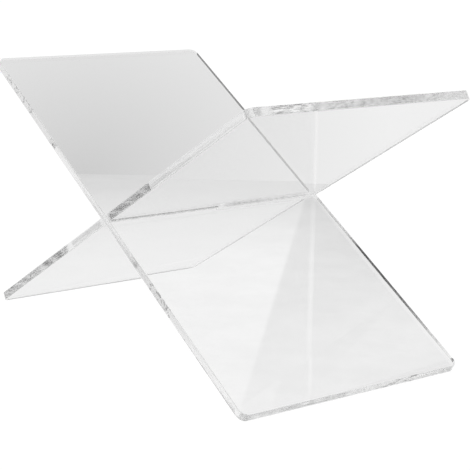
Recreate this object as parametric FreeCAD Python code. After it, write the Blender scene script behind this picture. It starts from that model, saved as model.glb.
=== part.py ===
import FreeCAD, Part
import math
import os

# Magazine rack: two equal sheets of clear acrylic that cross in an X and hold
# each other up through half-width slots. Nothing else fastens them.
#
# X runs along the crossing line, Y from the front to the back, Z up.
# The origin is on the floor, under the middle of the crossing line.

# Driving dimensions, in millimetres and degrees
SHEET_WIDTH = 292.0
SHEET_LENGTH = 603.0
SHEET_THICKNESS = 9.5
CORNER_RADIUS = 9.5
TILT = 30.0
ARRIS = 0.3
FLOOR_LAND = 1.5
FACE_GAP = 0.3
SLOT_OVERRUN = 0.6
SLOT_CORNER_RADIUS = 0.8

# The two sheets meet at twice the tilt. A slot with square-cut walls has to
# let the other sheet through at that angle, plus a running gap on each side.
CROSSING = math.radians(2.0 * TILT)
SLOT_FIT = SHEET_THICKNESS * (1.0 + math.cos(CROSSING)) / math.sin(CROSSING)
SLOT_WIDTH = SLOT_FIT + 2.0 * FACE_GAP / math.sin(CROSSING)

# A sheet stands on the lower arris of its bottom end, which is dressed to a
# narrow flat. LAND_DEPTH is how much of the sharp corner the flat takes off.
TILT_RAD = math.radians(TILT)
LAND_DEPTH = FLOOR_LAND * math.sin(TILT_RAD) * math.cos(TILT_RAD)
HALF_LENGTH = SHEET_LENGTH / 2.0
HALF_THICKNESS = SHEET_THICKNESS / 2.0
CROSSING_HEIGHT = HALF_LENGTH * math.sin(TILT_RAD) + HALF_THICKNESS * math.cos(TILT_RAD) - LAND_DEPTH

X_AXIS = FreeCAD.Vector(1.0, 0.0, 0.0)
Z_AXIS = FreeCAD.Vector(0.0, 0.0, 1.0)


def centred_block(length_x, length_y, length_z):
    """A block about the origin."""
    corner = FreeCAD.Vector(-length_x / 2.0, -length_y / 2.0, -length_z / 2.0)
    return Part.makeBox(length_x, length_y, length_z, corner)


def edges_along(shape, axis):
    """The straight edges of a shape that run along an axis."""
    return [edge for edge in shape.Edges if is_along(edge, axis)]


def is_along(edge, axis):
    """True for a straight edge that runs along the axis."""
    if not isinstance(edge.Curve, Part.Line):
        return False
    return abs(edge.Curve.Direction.dot(axis)) > 0.999


def outline_arrises(plate):
    """The edges round both broad faces of a plate."""
    arrises = []
    for edge in plate.Edges:
        box = edge.BoundBox
        lies_in_a_face = box.ZLength < 0.01
        if lies_in_a_face and abs(abs(box.Center.z) - HALF_THICKNESS) < 0.01:
            arrises.append(edge)
    return arrises


def flat_sheet():
    """One sheet lying flat: X across, Y along its length, slot open at +X."""
    plate = centred_block(SHEET_WIDTH, SHEET_LENGTH, SHEET_THICKNESS)
    plate = plate.makeFillet(CORNER_RADIUS, edges_along(plate, Z_AXIS))
    plate = plate.makeChamfer(ARRIS, outline_arrises(plate))
    return plate.cut(slot_cutter())


def slot_cutter():
    """The slot: from just past mid-width out through the +X edge."""
    slot_length = SHEET_WIDTH
    cutter = centred_block(slot_length, SLOT_WIDTH, 2.0 * SHEET_THICKNESS)
    cutter.translate(X_AXIS * (slot_length / 2.0 - SLOT_OVERRUN))
    inner_corners = [edge for edge in edges_along(cutter, Z_AXIS) if edge.BoundBox.Center.x < 0.0]
    return cutter.makeFillet(SLOT_CORNER_RADIUS, inner_corners)


def leaning_back():
    """The sheet that rises from the front of the rack to its back."""
    sheet = flat_sheet()
    sheet.rotate(FreeCAD.Vector(0.0, 0.0, 0.0), X_AXIS, TILT)
    sheet.translate(Z_AXIS * CROSSING_HEIGHT)
    return sheet.cut(below_floor())


def below_floor():
    """The space below the floor, which dresses the standing arris flat."""
    floor_block = centred_block(2.0 * SHEET_LENGTH, 2.0 * SHEET_LENGTH, SHEET_LENGTH)
    floor_block.translate(Z_AXIS * (-SHEET_LENGTH / 2.0))
    return floor_block


def leaning_forward():
    """The same sheet turned half round, rising from the back to the front."""
    sheet = leaning_back()
    sheet.rotate(FreeCAD.Vector(0.0, 0.0, 0.0), Z_AXIS, 180.0)
    return sheet


def write_step(node, shape):
    """Save one solid as parts/NODE.step."""
    solid = shape.Solids[0]
    print(node, "solids", len(shape.Solids), "valid", solid.isValid(), "volume", round(solid.Volume))
    solid.exportStep(os.path.join("parts", node + ".step"))


os.makedirs("parts", exist_ok=True)
write_step("rear_leaning_panel", leaning_back())
write_step("front_leaning_panel", leaning_forward())
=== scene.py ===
import math

import bmesh
import bpy
from mathutils import Matrix, Vector


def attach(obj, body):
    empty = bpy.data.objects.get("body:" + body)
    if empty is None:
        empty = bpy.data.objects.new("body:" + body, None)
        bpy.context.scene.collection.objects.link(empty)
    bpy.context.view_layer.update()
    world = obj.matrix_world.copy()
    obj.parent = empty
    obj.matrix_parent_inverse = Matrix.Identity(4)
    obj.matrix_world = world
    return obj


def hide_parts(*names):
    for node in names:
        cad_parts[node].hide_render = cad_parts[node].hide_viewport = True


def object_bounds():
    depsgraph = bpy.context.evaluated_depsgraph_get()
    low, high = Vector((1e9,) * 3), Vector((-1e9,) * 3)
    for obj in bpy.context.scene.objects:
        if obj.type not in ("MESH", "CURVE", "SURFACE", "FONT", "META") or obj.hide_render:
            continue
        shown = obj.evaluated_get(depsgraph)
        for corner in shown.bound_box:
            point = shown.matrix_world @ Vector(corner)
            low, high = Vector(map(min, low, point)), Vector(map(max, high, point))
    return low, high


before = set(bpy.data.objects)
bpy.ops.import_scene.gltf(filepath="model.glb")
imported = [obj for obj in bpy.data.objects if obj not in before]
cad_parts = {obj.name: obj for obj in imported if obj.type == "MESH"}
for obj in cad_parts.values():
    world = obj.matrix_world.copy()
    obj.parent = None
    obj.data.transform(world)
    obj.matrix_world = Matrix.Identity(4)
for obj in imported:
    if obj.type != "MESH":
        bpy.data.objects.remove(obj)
cad_low, cad_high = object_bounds()

# ---------------------------------------------------------------------------
# Sizes, in metres. A sheet's width and length come from the frame.
# ---------------------------------------------------------------------------

TILT = math.radians(30.0)
THICKNESS = 0.0095
CORNER_RADIUS = 0.0095
CAD_ARRIS = 0.0003
FACE_GAP = 0.0003
SLOT_OVERRUN = 0.0006
SLOT_CORNER_RADIUS = 0.0008

# A rounding that stays inside a 45 degree chamfer of CAD_ARRIS.
ARRIS_RADIUS = CAD_ARRIS / math.sqrt(2.0) / (math.sqrt(2.0) - 1.0)

HALF_THICKNESS = THICKNESS / 2.0
WIDTH = cad_high.x - cad_low.x
END_OVERHANG = (THICKNESS - 2.0 * CAD_ARRIS) * math.sin(TILT)
LENGTH = ((cad_high.y - cad_low.y) - END_OVERHANG) / math.cos(TILT)
CROSSING = 2.0 * TILT
SLOT_WIDTH = (THICKNESS * (1.0 + math.cos(CROSSING)) + 2.0 * FACE_GAP) / math.sin(CROSSING)
TOP_RISE = (LENGTH / 2.0 - CAD_ARRIS) * math.sin(TILT) + HALF_THICKNESS * math.cos(TILT)
CROSSING_HEIGHT = cad_high.z - TOP_RISE

# Spacing of the mesh along an outline, and rows of faces across an edge.
OUTLINE_STEP = 0.004
CORNER_STEPS = 16
SLOT_CORNER_STEPS = 6
ARRIS_STEPS = 4
EDGE_ROWS = 8

# Material slots of a sheet's mesh, and the attribute that keeps where a point
# was on the flat sheet, so that the materials follow the sheet.
FACE, EDGE, SLOT_WALL = 0, 1, 2
FLAT_PLACE = "flat_place"


# ---------------------------------------------------------------------------
# The sheets
# ---------------------------------------------------------------------------

def arc(centre, radius, start, end, steps):
    """Points on an arc from start to end, in degrees."""
    points = []
    for i in range(steps + 1):
        angle = math.radians(start + (end - start) * i / steps)
        x = centre[0] + radius * math.cos(angle)
        y = centre[1] + radius * math.sin(angle)
        points.append(Vector((x, y, 0.0)))
    return points


def between(start, end):
    """Evenly spaced points between two others, leaving both out."""
    count = max(1, round((end - start).length / OUTLINE_STEP))
    return [start.lerp(end, i / count) for i in range(1, count)]


def outline():
    """The outline, counter-clockwise with its slot open at +X, and whether each point is in the slot."""
    x, y, r = WIDTH / 2.0, LENGTH / 2.0, CORNER_RADIUS
    wall, inner = SLOT_WIDTH / 2.0, SLOT_CORNER_RADIUS
    end = -SLOT_OVERRUN
    body = [
        [Vector((x, wall, 0.0))],
        arc((x - r, y - r), r, 0, 90, CORNER_STEPS),
        arc((-x + r, y - r), r, 90, 180, CORNER_STEPS),
        arc((-x + r, -y + r), r, 180, 270, CORNER_STEPS),
        arc((x - r, -y + r), r, 270, 360, CORNER_STEPS),
    ]
    slot = [
        [Vector((x, -wall, 0.0))],
        arc((end + inner, -wall + inner), inner, 270, 180, SLOT_CORNER_STEPS),
        arc((end + inner, wall - inner), inner, 180, 90, SLOT_CORNER_STEPS),
    ]
    stretches = body + slot
    points, in_slot = [], []
    for i, stretch in enumerate(stretches):
        joined = stretch + between(stretch[-1], stretches[(i + 1) % len(stretches)][0])
        points += joined
        in_slot += [i >= len(body)] * len(joined)
    return points, in_slot


def outward(points):
    """The outward direction at each point of a counter-clockwise outline."""
    result = []
    for i, point in enumerate(points):
        tangent = (points[(i + 1) % len(points)] - points[i - 1]).normalized()
        result.append(Vector((tangent.y, -tangent.x, 0.0)))
    return result


def edge_profile():
    """(inset, height) pairs from the upper face, round the polished edge, to the lower face."""
    r, h = ARRIS_RADIUS, HALF_THICKNESS
    upper = []
    for i in range(ARRIS_STEPS + 1):
        angle = math.radians(90.0 * i / ARRIS_STEPS)
        upper.append((r * (1.0 - math.sin(angle)), h - r * (1.0 - math.cos(angle))))
    middle = [(0.0, (h - r) * (1.0 - 2.0 * i / EDGE_ROWS)) for i in range(1, EDGE_ROWS)]
    lower = [(inset, -height) for inset, height in reversed(upper)]
    return upper + middle + lower


def sheet_mesh(name, place):
    """One slotted sheet at its place, flat where it stands on the floor."""
    points, in_slot = outline()
    directions = outward(points)
    bm = bmesh.new()
    rows = []
    for inset, height in edge_profile():
        ring = [p - d * inset + Vector((0.0, 0.0, height)) for p, d in zip(points, directions)]
        rows.append([bm.verts.new(co) for co in ring])
    for upper, lower in zip(rows, rows[1:]):
        for i in range(len(points)):
            j = (i + 1) % len(points)
            face = bm.faces.new((upper[i], lower[i], lower[j], upper[j]))
            face.material_index = SLOT_WALL if in_slot[i] else EDGE
            face.smooth = True
    bm.faces.new(rows[0]).material_index = FACE
    bm.faces.new(list(reversed(rows[-1]))).material_index = FACE
    flat = bm.verts.layers.float_vector.new(FLAT_PLACE)
    for vert in bm.verts:
        vert[flat] = vert.co
        vert.co = place @ vert.co
        vert.co.z = max(vert.co.z, 0.0)
    bmesh.ops.recalc_face_normals(bm, faces=bm.faces)
    mesh = bpy.data.meshes.new(name)
    bm.to_mesh(mesh)
    bm.free()
    return mesh


def add_sheet(node, body, turn, materials):
    """A sheet in place of a CAD node, leaning back and then turned about the vertical."""
    place = (
        Matrix.Rotation(turn, 4, "Z")
        @ Matrix.Translation((0.0, 0.0, CROSSING_HEIGHT))
        @ Matrix.Rotation(TILT, 4, "X")
    )
    sheet = bpy.data.objects.new(node + "_sheet", sheet_mesh(node + "_sheet", place))
    for material in materials:
        sheet.data.materials.append(material)
    bpy.context.scene.collection.objects.link(sheet)
    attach(sheet, body)
    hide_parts(node)


# ---------------------------------------------------------------------------
# Materials
# ---------------------------------------------------------------------------

ACRYLIC_TINT = (0.988, 0.988, 0.988, 1.0)
ACRYLIC_IOR = 1.49

# Where on a sheet's edge the polish is poorer: across, along and reach. It is
# poorest out to POOR_POLISH_CORE of the reach.
POOR_POLISH = (
    (-0.50 * WIDTH, 0.385 * LENGTH, 0.055),
    (-0.50 * WIDTH, -0.215 * LENGTH, 0.036),
    (0.20 * WIDTH, -0.50 * LENGTH, 0.040),
)
POOR_POLISH_CORE = 0.6

# A pattern's cycles a metre across, along and through a sheet, and its detail.
HANDLING_MARKS = ((22.0, 14.0, 22.0), 3.0)
EDGE_STREAKS = ((20.0, 20.0, 600.0), 3.0)
EDGE_WAVES = ((90.0, 90.0, 160.0), 2.0)
EDGE_NICKS = ((100.0, 280.0, 300.0), 2.0)
SLOT_PATCHES = ((100.0, 100.0, 30.0), 1.0)
SLOT_MARKS = ((900.0, 900.0, 60.0), 3.0)

# How deep a pattern's relief is, in metres.
EDGE_STREAK_DEPTH = 0.00008
EDGE_WAVE_DEPTH = 0.00006
EDGE_NICK_DEPTH = 0.00015
SLOT_PATCH_DEPTH = 0.00020
SLOT_MARK_DEPTH = 0.00004

# The range of a pattern that shows, then the roughness or tint at each end of it.
HANDLING_ROUGHNESS = (0.58, 0.80, 0.0, 0.03)
EDGE_STREAK_ROUGHNESS = (0.45, 0.75, 0.02, 0.06)
EDGE_NICK_TINT = (0.52, 0.63, 0.985, 0.30)
SLOT_PATCH_TINT = (0.40, 0.58, 0.985, 0.68)
SLOT_MARK_ROUGHNESS = (0.30, 0.70, 0.06, 0.22)


def acrylic(name):
    """Clear cast acrylic: the material's nodes, its links and its shader."""
    material = bpy.data.materials.new(name)
    material.use_nodes = True
    tree = material.node_tree
    shader = tree.nodes["Principled BSDF"]
    shader.inputs["Base Color"].default_value = ACRYLIC_TINT
    shader.inputs["Transmission Weight"].default_value = 1.0
    shader.inputs["IOR"].default_value = ACRYLIC_IOR
    shader.inputs["Roughness"].default_value = 0.0
    return material, tree, shader


def calculate(tree, operation, first, second):
    """A Math node; each input is a socket or a number."""
    node = tree.nodes.new("ShaderNodeMath")
    node.operation = operation
    for socket, value in zip(node.inputs, (first, second)):
        if isinstance(value, float):
            socket.default_value = value
        else:
            tree.links.new(value, socket)
    return node.outputs["Value"]


def across(tree, operation, vector, constant):
    """A Vector Math node between a socket and a constant vector."""
    node = tree.nodes.new("ShaderNodeVectorMath")
    node.operation = operation
    node.inputs[1].default_value = constant
    tree.links.new(vector, node.inputs[0])
    return node


def length(tree, vector):
    """The length of a vector."""
    node = tree.nodes.new("ShaderNodeVectorMath")
    node.operation = "LENGTH"
    tree.links.new(vector, node.inputs[0])
    return node.outputs["Value"]


def flat_place(tree):
    """Where a point is on the flat sheet: across it, along it and through its thickness."""
    place = tree.nodes.new("ShaderNodeAttribute")
    place.attribute_name = FLAT_PLACE
    return place.outputs["Vector"]


def noise(tree, scale, detail):
    """Noise on the flat sheet, with so many cycles a metre in each direction."""
    stretch = tree.nodes.new("ShaderNodeMapping")
    stretch.inputs["Scale"].default_value = scale
    texture = tree.nodes.new("ShaderNodeTexNoise")
    texture.inputs["Scale"].default_value = 1.0
    texture.inputs["Detail"].default_value = detail
    tree.links.new(flat_place(tree), stretch.inputs["Vector"])
    tree.links.new(stretch.outputs["Vector"], texture.inputs["Vector"])
    return texture.outputs["Fac"]


def ramp(tree, value, low, high, at_low, at_high):
    """value brought smoothly from low..high to at_low..at_high."""
    node = tree.nodes.new("ShaderNodeMapRange")
    node.interpolation_type = "SMOOTHSTEP"
    node.inputs["From Min"].default_value = low
    node.inputs["From Max"].default_value = high
    node.inputs["To Min"].default_value = at_low
    node.inputs["To Max"].default_value = at_high
    tree.links.new(value, node.inputs["Value"])
    return node.outputs["Result"]


def bump(tree, shader, height, depth, under=None):
    """A relief of the given depth in metres, over an earlier one if there is one."""
    node = tree.nodes.new("ShaderNodeBump")
    node.inputs["Strength"].default_value = 1.0
    node.inputs["Distance"].default_value = depth
    tree.links.new(height, node.inputs["Height"])
    if under:
        tree.links.new(under, node.inputs["Normal"])
    tree.links.new(node.outputs["Normal"], shader.inputs["Normal"])
    return node.outputs["Normal"]


def face_acrylic():
    """The sheet's glossy faces: nearly flat, with a few faint handling marks."""
    material, tree, shader = acrylic("acrylic_face")
    marks = noise(tree, *HANDLING_MARKS)
    tree.links.new(ramp(tree, marks, *HANDLING_ROUGHNESS), shader.inputs["Roughness"])
    return material


def poor_polish(tree):
    """How poor the polish is on the edge: 0 is good, 1 is poor."""
    poor = 0.0
    for place_across, place_along, reach in POOR_POLISH:
        centre = (place_across, place_along, 0.0)
        away = across(tree, "DISTANCE", flat_place(tree), centre).outputs["Value"]
        spot = ramp(tree, away, POOR_POLISH_CORE * reach, reach, 1.0, 0.0)
        poor = calculate(tree, "MAXIMUM", spot, poor)
    return poor


def edge_acrylic():
    """The polished edges: faint long saw streaks, and dull nicks where the polish is poor."""
    material, tree, shader = acrylic("acrylic_edge")
    streaks = noise(tree, *EDGE_STREAKS)
    waves = noise(tree, *EDGE_WAVES)
    nicks = calculate(tree, "MULTIPLY", noise(tree, *EDGE_NICKS), poor_polish(tree))
    under = bump(tree, shader, waves, EDGE_WAVE_DEPTH)
    under = bump(tree, shader, nicks, EDGE_NICK_DEPTH, under)
    bump(tree, shader, streaks, EDGE_STREAK_DEPTH, under)
    tree.links.new(ramp(tree, nicks, *EDGE_NICK_TINT), shader.inputs["Base Color"])
    tree.links.new(ramp(tree, streaks, *EDGE_STREAK_ROUGHNESS), shader.inputs["Roughness"])
    return material


def slot_acrylic():
    """The slot's machined walls, dull in patches along the cut, with fine marks from face to face."""
    material, tree, shader = acrylic("acrylic_slot_wall")
    patches = noise(tree, *SLOT_PATCHES)
    marks = noise(tree, *SLOT_MARKS)
    under = bump(tree, shader, patches, SLOT_PATCH_DEPTH)
    bump(tree, shader, marks, SLOT_MARK_DEPTH, under)
    tree.links.new(ramp(tree, patches, *SLOT_PATCH_TINT), shader.inputs["Base Color"])
    tree.links.new(ramp(tree, marks, *SLOT_MARK_ROUGHNESS), shader.inputs["Roughness"])
    return material


sheet_materials = (face_acrylic(), edge_acrylic(), slot_acrylic())
add_sheet("rear_leaning_panel", "rear_leaning_sheet", 0.0, sheet_materials)
add_sheet("front_leaning_panel", "front_leaning_sheet", math.pi, sheet_materials)


# ---------------------------------------------------------------------------
# The studio: white for the camera. What the clear sheets bend and reflect is a
# lit table, a pale wall, a ceiling lit on one side of an edge, and three cards.
# ---------------------------------------------------------------------------

VIEW_AZIMUTH = math.radians(-35.9225)
VIEW_ELEVATION = math.radians(12.9891)
VIEW_ROLL = math.radians(0.9476)
VIEW_DISTANCE = 5.4631 * WIDTH
VIEW_TARGET = Vector((0.1071 * WIDTH, 0.0, 0.3959 * WIDTH))
LENS, SENSOR = 103.16, 36.0

# The floor and the table: how far below the rack and how far out they reach,
# in metres, and how much they glow and how pale they are where other light falls.
FLOOR_DROP, FLOOR_REACH = 0.0001, 12.0
FLOOR_GLOW, FLOOR_PAPER = 0.96, 0.10
TABLE_DROP, TABLE_REACH = 0.0003, 1.0
TABLE_LIGHT, TABLE_RIM_LIGHT, TABLE_PAPER = 0.885, 0.62, 0.03
TABLE_FADE_START, TABLE_FADE_END = 0.25, 1.10
TABLE_MOTTLE, TABLE_MOTTLE_SCALE, TABLE_MOTTLE_DETAIL = 0.03, 14.0, 6.0
TABLE_MOTTLE_ROUGHNESS, TABLE_MOTTLE_RANGE = 0.7, (0.25, 0.75)

# Directions are from the rack. The wall is dimmest a little below the horizon.
# The ceiling is lit on one side of an edge. Past it is a darker strip, which
# fades to STRIP_LEFT_OVER of its shade. The cards at the left show only in what
# the sheets reflect: two darken it and one brightens it.
WALL_LIGHT, WALL_DIM_LIGHT, WALL_RISE = 0.88, 0.57, 0.68
WALL_DIM_HEADING, WALL_DIM_FALL, WALL_DIM_SHAPE = 29.5, 10.5, (2.0, 2.0, 2.5)
WALL_BACK_START, WALL_BACK_END, WALL_BACK_LIGHT = 1.2, 2.6, 0.90
CEILING_START, CEILING_END = 0.36, 0.52
CEILING_LIGHT, CEILING_DARK, CEILING_FAR_DARK = 0.95, 0.45, 0.14
CEILING_EDGE, CEILING_EDGE_BLUR = (0.716, -0.550, -0.429), 0.002
CEILING_FAR = (0.18, 0.36)
STRIP_START, STRIP_END = (0.09, 0.15), (0.165, 0.195)
STRIP_SHADE, STRIP_LEFT_OVER = 0.95, 0.3

# A card's shade, its heading and fall, and the angles from its middle where it
# starts to fade and ends. A negative shade brightens.
WIDE_CARD = (0.82, -38.5, 9.5, 7.5, 11.5)
SMALL_CARD = (0.80, -42.2, 14.2, 2.2, 4.0)
BRIGHT_CARD = (-0.32, -44.0, 35.0, 12.0, 22.0)

Y_AXIS, Z_AXIS = (0.0, 1.0, 0.0), (0.0, 0.0, 1.0)

# Rays that stay trapped in a sheet end black, so they are followed a long way.
LIGHT_BOUNCES = 200


def toward(heading, fall):
    """A direction: degrees from +Y toward +X, and degrees below the horizon."""
    a, e = math.radians(heading), math.radians(fall)
    return Vector((math.sin(a) * math.cos(e), math.cos(a) * math.cos(e), -math.sin(e)))


def facing(tree, ray, direction):
    """The cosine between a ray and a direction."""
    return across(tree, "DOT_PRODUCT", ray, direction).outputs["Value"]


def shade_mix(tree, factor, first, second):
    """The first shader where the factor is 0, and the second where it is 1."""
    node = tree.nodes.new("ShaderNodeMixShader")
    tree.links.new(factor, node.inputs["Fac"])
    tree.links.new(first, node.inputs[1])
    tree.links.new(second, node.inputs[2])
    return node.outputs["Shader"]


def stage_material(name, glow, paper_shade):
    """A surface that glows and takes a little of the light around it, with its glow and output nodes."""
    material = bpy.data.materials.new(name)
    material.use_nodes = True
    tree = material.node_tree
    tree.nodes.clear()
    lit = tree.nodes.new("ShaderNodeEmission")
    lit.inputs["Strength"].default_value = glow
    paper = tree.nodes.new("ShaderNodeBsdfDiffuse")
    paper.inputs["Color"].default_value = (paper_shade, paper_shade, paper_shade, 1.0)
    both = tree.nodes.new("ShaderNodeAddShader")
    out = tree.nodes.new("ShaderNodeOutputMaterial")
    tree.links.new(lit.outputs["Emission"], both.inputs[0])
    tree.links.new(paper.outputs["BSDF"], both.inputs[1])
    tree.links.new(both.outputs["Shader"], out.inputs["Surface"])
    return material, lit, out


def along_view(right, ahead, up):
    """A point on the stage, measured from the origin along the camera's heading."""
    return Matrix.Rotation(VIEW_AZIMUTH, 4, "Z") @ Vector((right, ahead, up))


def stage_quad(name, reach, drop, material, for_camera):
    """A level square of the stage, seen either by the camera or by every other ray."""
    corners = ((-reach, -reach), (reach, -reach), (reach, reach), (-reach, reach))
    mesh = bpy.data.meshes.new(name)
    mesh.from_pydata([tuple(along_view(x, y, -drop)) for x, y in corners], [], [(0, 1, 2, 3)])
    mesh.materials.append(material)
    quad = bpy.data.objects.new(name, mesh)
    bpy.context.scene.collection.objects.link(quad)
    quad.visible_camera = for_camera
    quad.visible_glossy = not for_camera
    quad.visible_transmission = not for_camera
    quad.visible_diffuse = not for_camera
    quad.visible_shadow = False


def add_floor():
    """The plain white floor, which only the camera sees."""
    material = stage_material("pale_floor", FLOOR_GLOW, FLOOR_PAPER)[0]
    stage_quad("floor", FLOOR_REACH, FLOOR_DROP, material, True)


def add_table():
    """The lit table, brightest under the rack; reflected rays look past it at the room."""
    material, lit, out = stage_material("lit_table", TABLE_LIGHT, TABLE_PAPER)
    tree = material.node_tree
    place = tree.nodes.new("ShaderNodeTexCoord").outputs["Object"]
    light = (TABLE_FADE_START, TABLE_FADE_END, TABLE_LIGHT, TABLE_RIM_LIGHT)
    fade = ramp(tree, length(tree, place), *light)
    mottle = tree.nodes.new("ShaderNodeTexNoise")
    mottle.inputs["Scale"].default_value = TABLE_MOTTLE_SCALE
    mottle.inputs["Detail"].default_value = TABLE_MOTTLE_DETAIL
    mottle.inputs["Roughness"].default_value = TABLE_MOTTLE_ROUGHNESS
    tree.links.new(place, mottle.inputs["Vector"])
    shades = (1.0 - TABLE_MOTTLE, 1.0 + TABLE_MOTTLE)
    patches = ramp(tree, mottle.outputs["Fac"], *TABLE_MOTTLE_RANGE, *shades)
    tree.links.new(calculate(tree, "MULTIPLY", fade, patches), lit.inputs["Strength"])
    surface = out.inputs["Surface"].links[0].from_socket
    clear = tree.nodes.new("ShaderNodeBsdfTransparent")
    path = tree.nodes.new("ShaderNodeLightPath")
    reflected = calculate(tree, "MINIMUM", path.outputs["Glossy Depth"], 1.0)
    tree.links.new(shade_mix(tree, reflected, surface, clear.outputs["BSDF"]), out.inputs["Surface"])
    stage_quad("table", TABLE_REACH, TABLE_DROP, material, False)


def card(tree, ray, reflected, shade, heading, fall, inner, outer):
    """What a card in one direction multiplies a reflected ray's light by."""
    cosine = facing(tree, ray, toward(heading, fall))
    spot = ramp(tree, cosine, math.cos(math.radians(outer)), math.cos(math.radians(inner)), 0.0, shade)
    return calculate(tree, "SUBTRACT", 1.0, calculate(tree, "MULTIPLY", spot, reflected))


def wall_light(tree, ray):
    """The pale wall, with its dim place, and a little darker round the back."""
    away = across(tree, "SUBTRACT", ray, toward(WALL_DIM_HEADING, WALL_DIM_FALL)).outputs["Vector"]
    away = across(tree, "MULTIPLY", away, WALL_DIM_SHAPE).outputs["Vector"]
    away = length(tree, away)
    rise = calculate(tree, "MULTIPLY", away, WALL_RISE)
    wall = calculate(tree, "MINIMUM", calculate(tree, "ADD", rise, WALL_DIM_LIGHT), WALL_LIGHT)
    back = ramp(tree, away, WALL_BACK_START, WALL_BACK_END, 1.0, WALL_BACK_LIGHT)
    return calculate(tree, "MULTIPLY", wall, back)


def ceiling_light(tree, ray):
    """The ceiling: lit up to its edge, and dark past it, most of all in a strip and far away."""
    side = facing(tree, ray, CEILING_EDGE)
    along = facing(tree, ray, Y_AXIS)
    strip_in = ramp(tree, along, *STRIP_START, 0.0, STRIP_SHADE)
    strip_out = ramp(tree, along, *STRIP_END, 1.0, STRIP_LEFT_OVER)
    strip = calculate(tree, "MULTIPLY", strip_in, strip_out)
    dark = calculate(tree, "MULTIPLY", calculate(tree, "SUBTRACT", 1.0, strip), CEILING_DARK)
    dark = calculate(tree, "MULTIPLY", dark, ramp(tree, side, *CEILING_FAR, 1.0, CEILING_FAR_DARK))
    past = ramp(tree, side, -CEILING_EDGE_BLUR, CEILING_EDGE_BLUR, 0.0, 1.0)
    change = calculate(tree, "MULTIPLY", calculate(tree, "SUBTRACT", dark, CEILING_LIGHT), past)
    return calculate(tree, "ADD", change, CEILING_LIGHT)


def room_light(tree, ray, reflected):
    """The light from each direction: wall, ceiling above it, and the cards."""
    wall = wall_light(tree, ray)
    above = ramp(tree, facing(tree, ray, Z_AXIS), CEILING_START, CEILING_END, 0.0, 1.0)
    step = calculate(tree, "SUBTRACT", ceiling_light(tree, ray), wall)
    light = calculate(tree, "ADD", wall, calculate(tree, "MULTIPLY", step, above))
    for placed in (WIDE_CARD, SMALL_CARD, BRIGHT_CARD):
        light = calculate(tree, "MULTIPLY", light, card(tree, ray, reflected, *placed))
    return light


def add_world():
    """White to the camera, and the room to every other ray."""
    world = bpy.data.worlds.new("studio")
    bpy.context.scene.world = world
    world.use_nodes = True
    tree = world.node_tree
    tree.nodes.clear()
    place = tree.nodes.new("ShaderNodeTexCoord")
    path = tree.nodes.new("ShaderNodeLightPath")
    reflected = calculate(tree, "MINIMUM", path.outputs["Glossy Depth"], 1.0)
    room = tree.nodes.new("ShaderNodeBackground")
    tree.links.new(room_light(tree, place.outputs["Generated"], reflected), room.inputs["Color"])
    white = tree.nodes.new("ShaderNodeBackground")
    white.inputs["Color"].default_value = (1.0, 1.0, 1.0, 1.0)
    out = tree.nodes.new("ShaderNodeOutputWorld")
    direct = path.outputs["Is Camera Ray"]
    seen = shade_mix(tree, direct, room.outputs["Background"], white.outputs["Background"])
    tree.links.new(seen, out.inputs["Surface"])


def add_camera():
    """The camera at the photo's side of the rack."""
    data = bpy.data.cameras.new("camera")
    data.sensor_width = SENSOR
    data.lens = LENS
    camera = bpy.data.objects.new("camera", data)
    bpy.context.scene.collection.objects.link(camera)
    level = math.cos(VIEW_ELEVATION)
    back_x = math.sin(VIEW_AZIMUTH) * level
    back_y = -math.cos(VIEW_AZIMUTH) * level
    back = Vector((back_x, back_y, math.sin(VIEW_ELEVATION)))
    camera.matrix_world = (
        Matrix.Translation(VIEW_TARGET + back * VIEW_DISTANCE)
        @ back.to_track_quat("Z", "Y").to_matrix().to_4x4()
        @ Matrix.Rotation(VIEW_ROLL, 4, "Z")
    )
    bpy.context.scene.camera = camera


def set_look():
    """Deep light paths for the clear sheets, and white kept white."""
    scene = bpy.context.scene
    scene.view_settings.view_transform = "Standard"
    scene.cycles.max_bounces = LIGHT_BOUNCES
    scene.cycles.transmission_bounces = LIGHT_BOUNCES
    scene.cycles.glossy_bounces = LIGHT_BOUNCES
    scene.cycles.use_denoising = True


add_floor()
add_table()
add_world()
add_camera()
set_look()
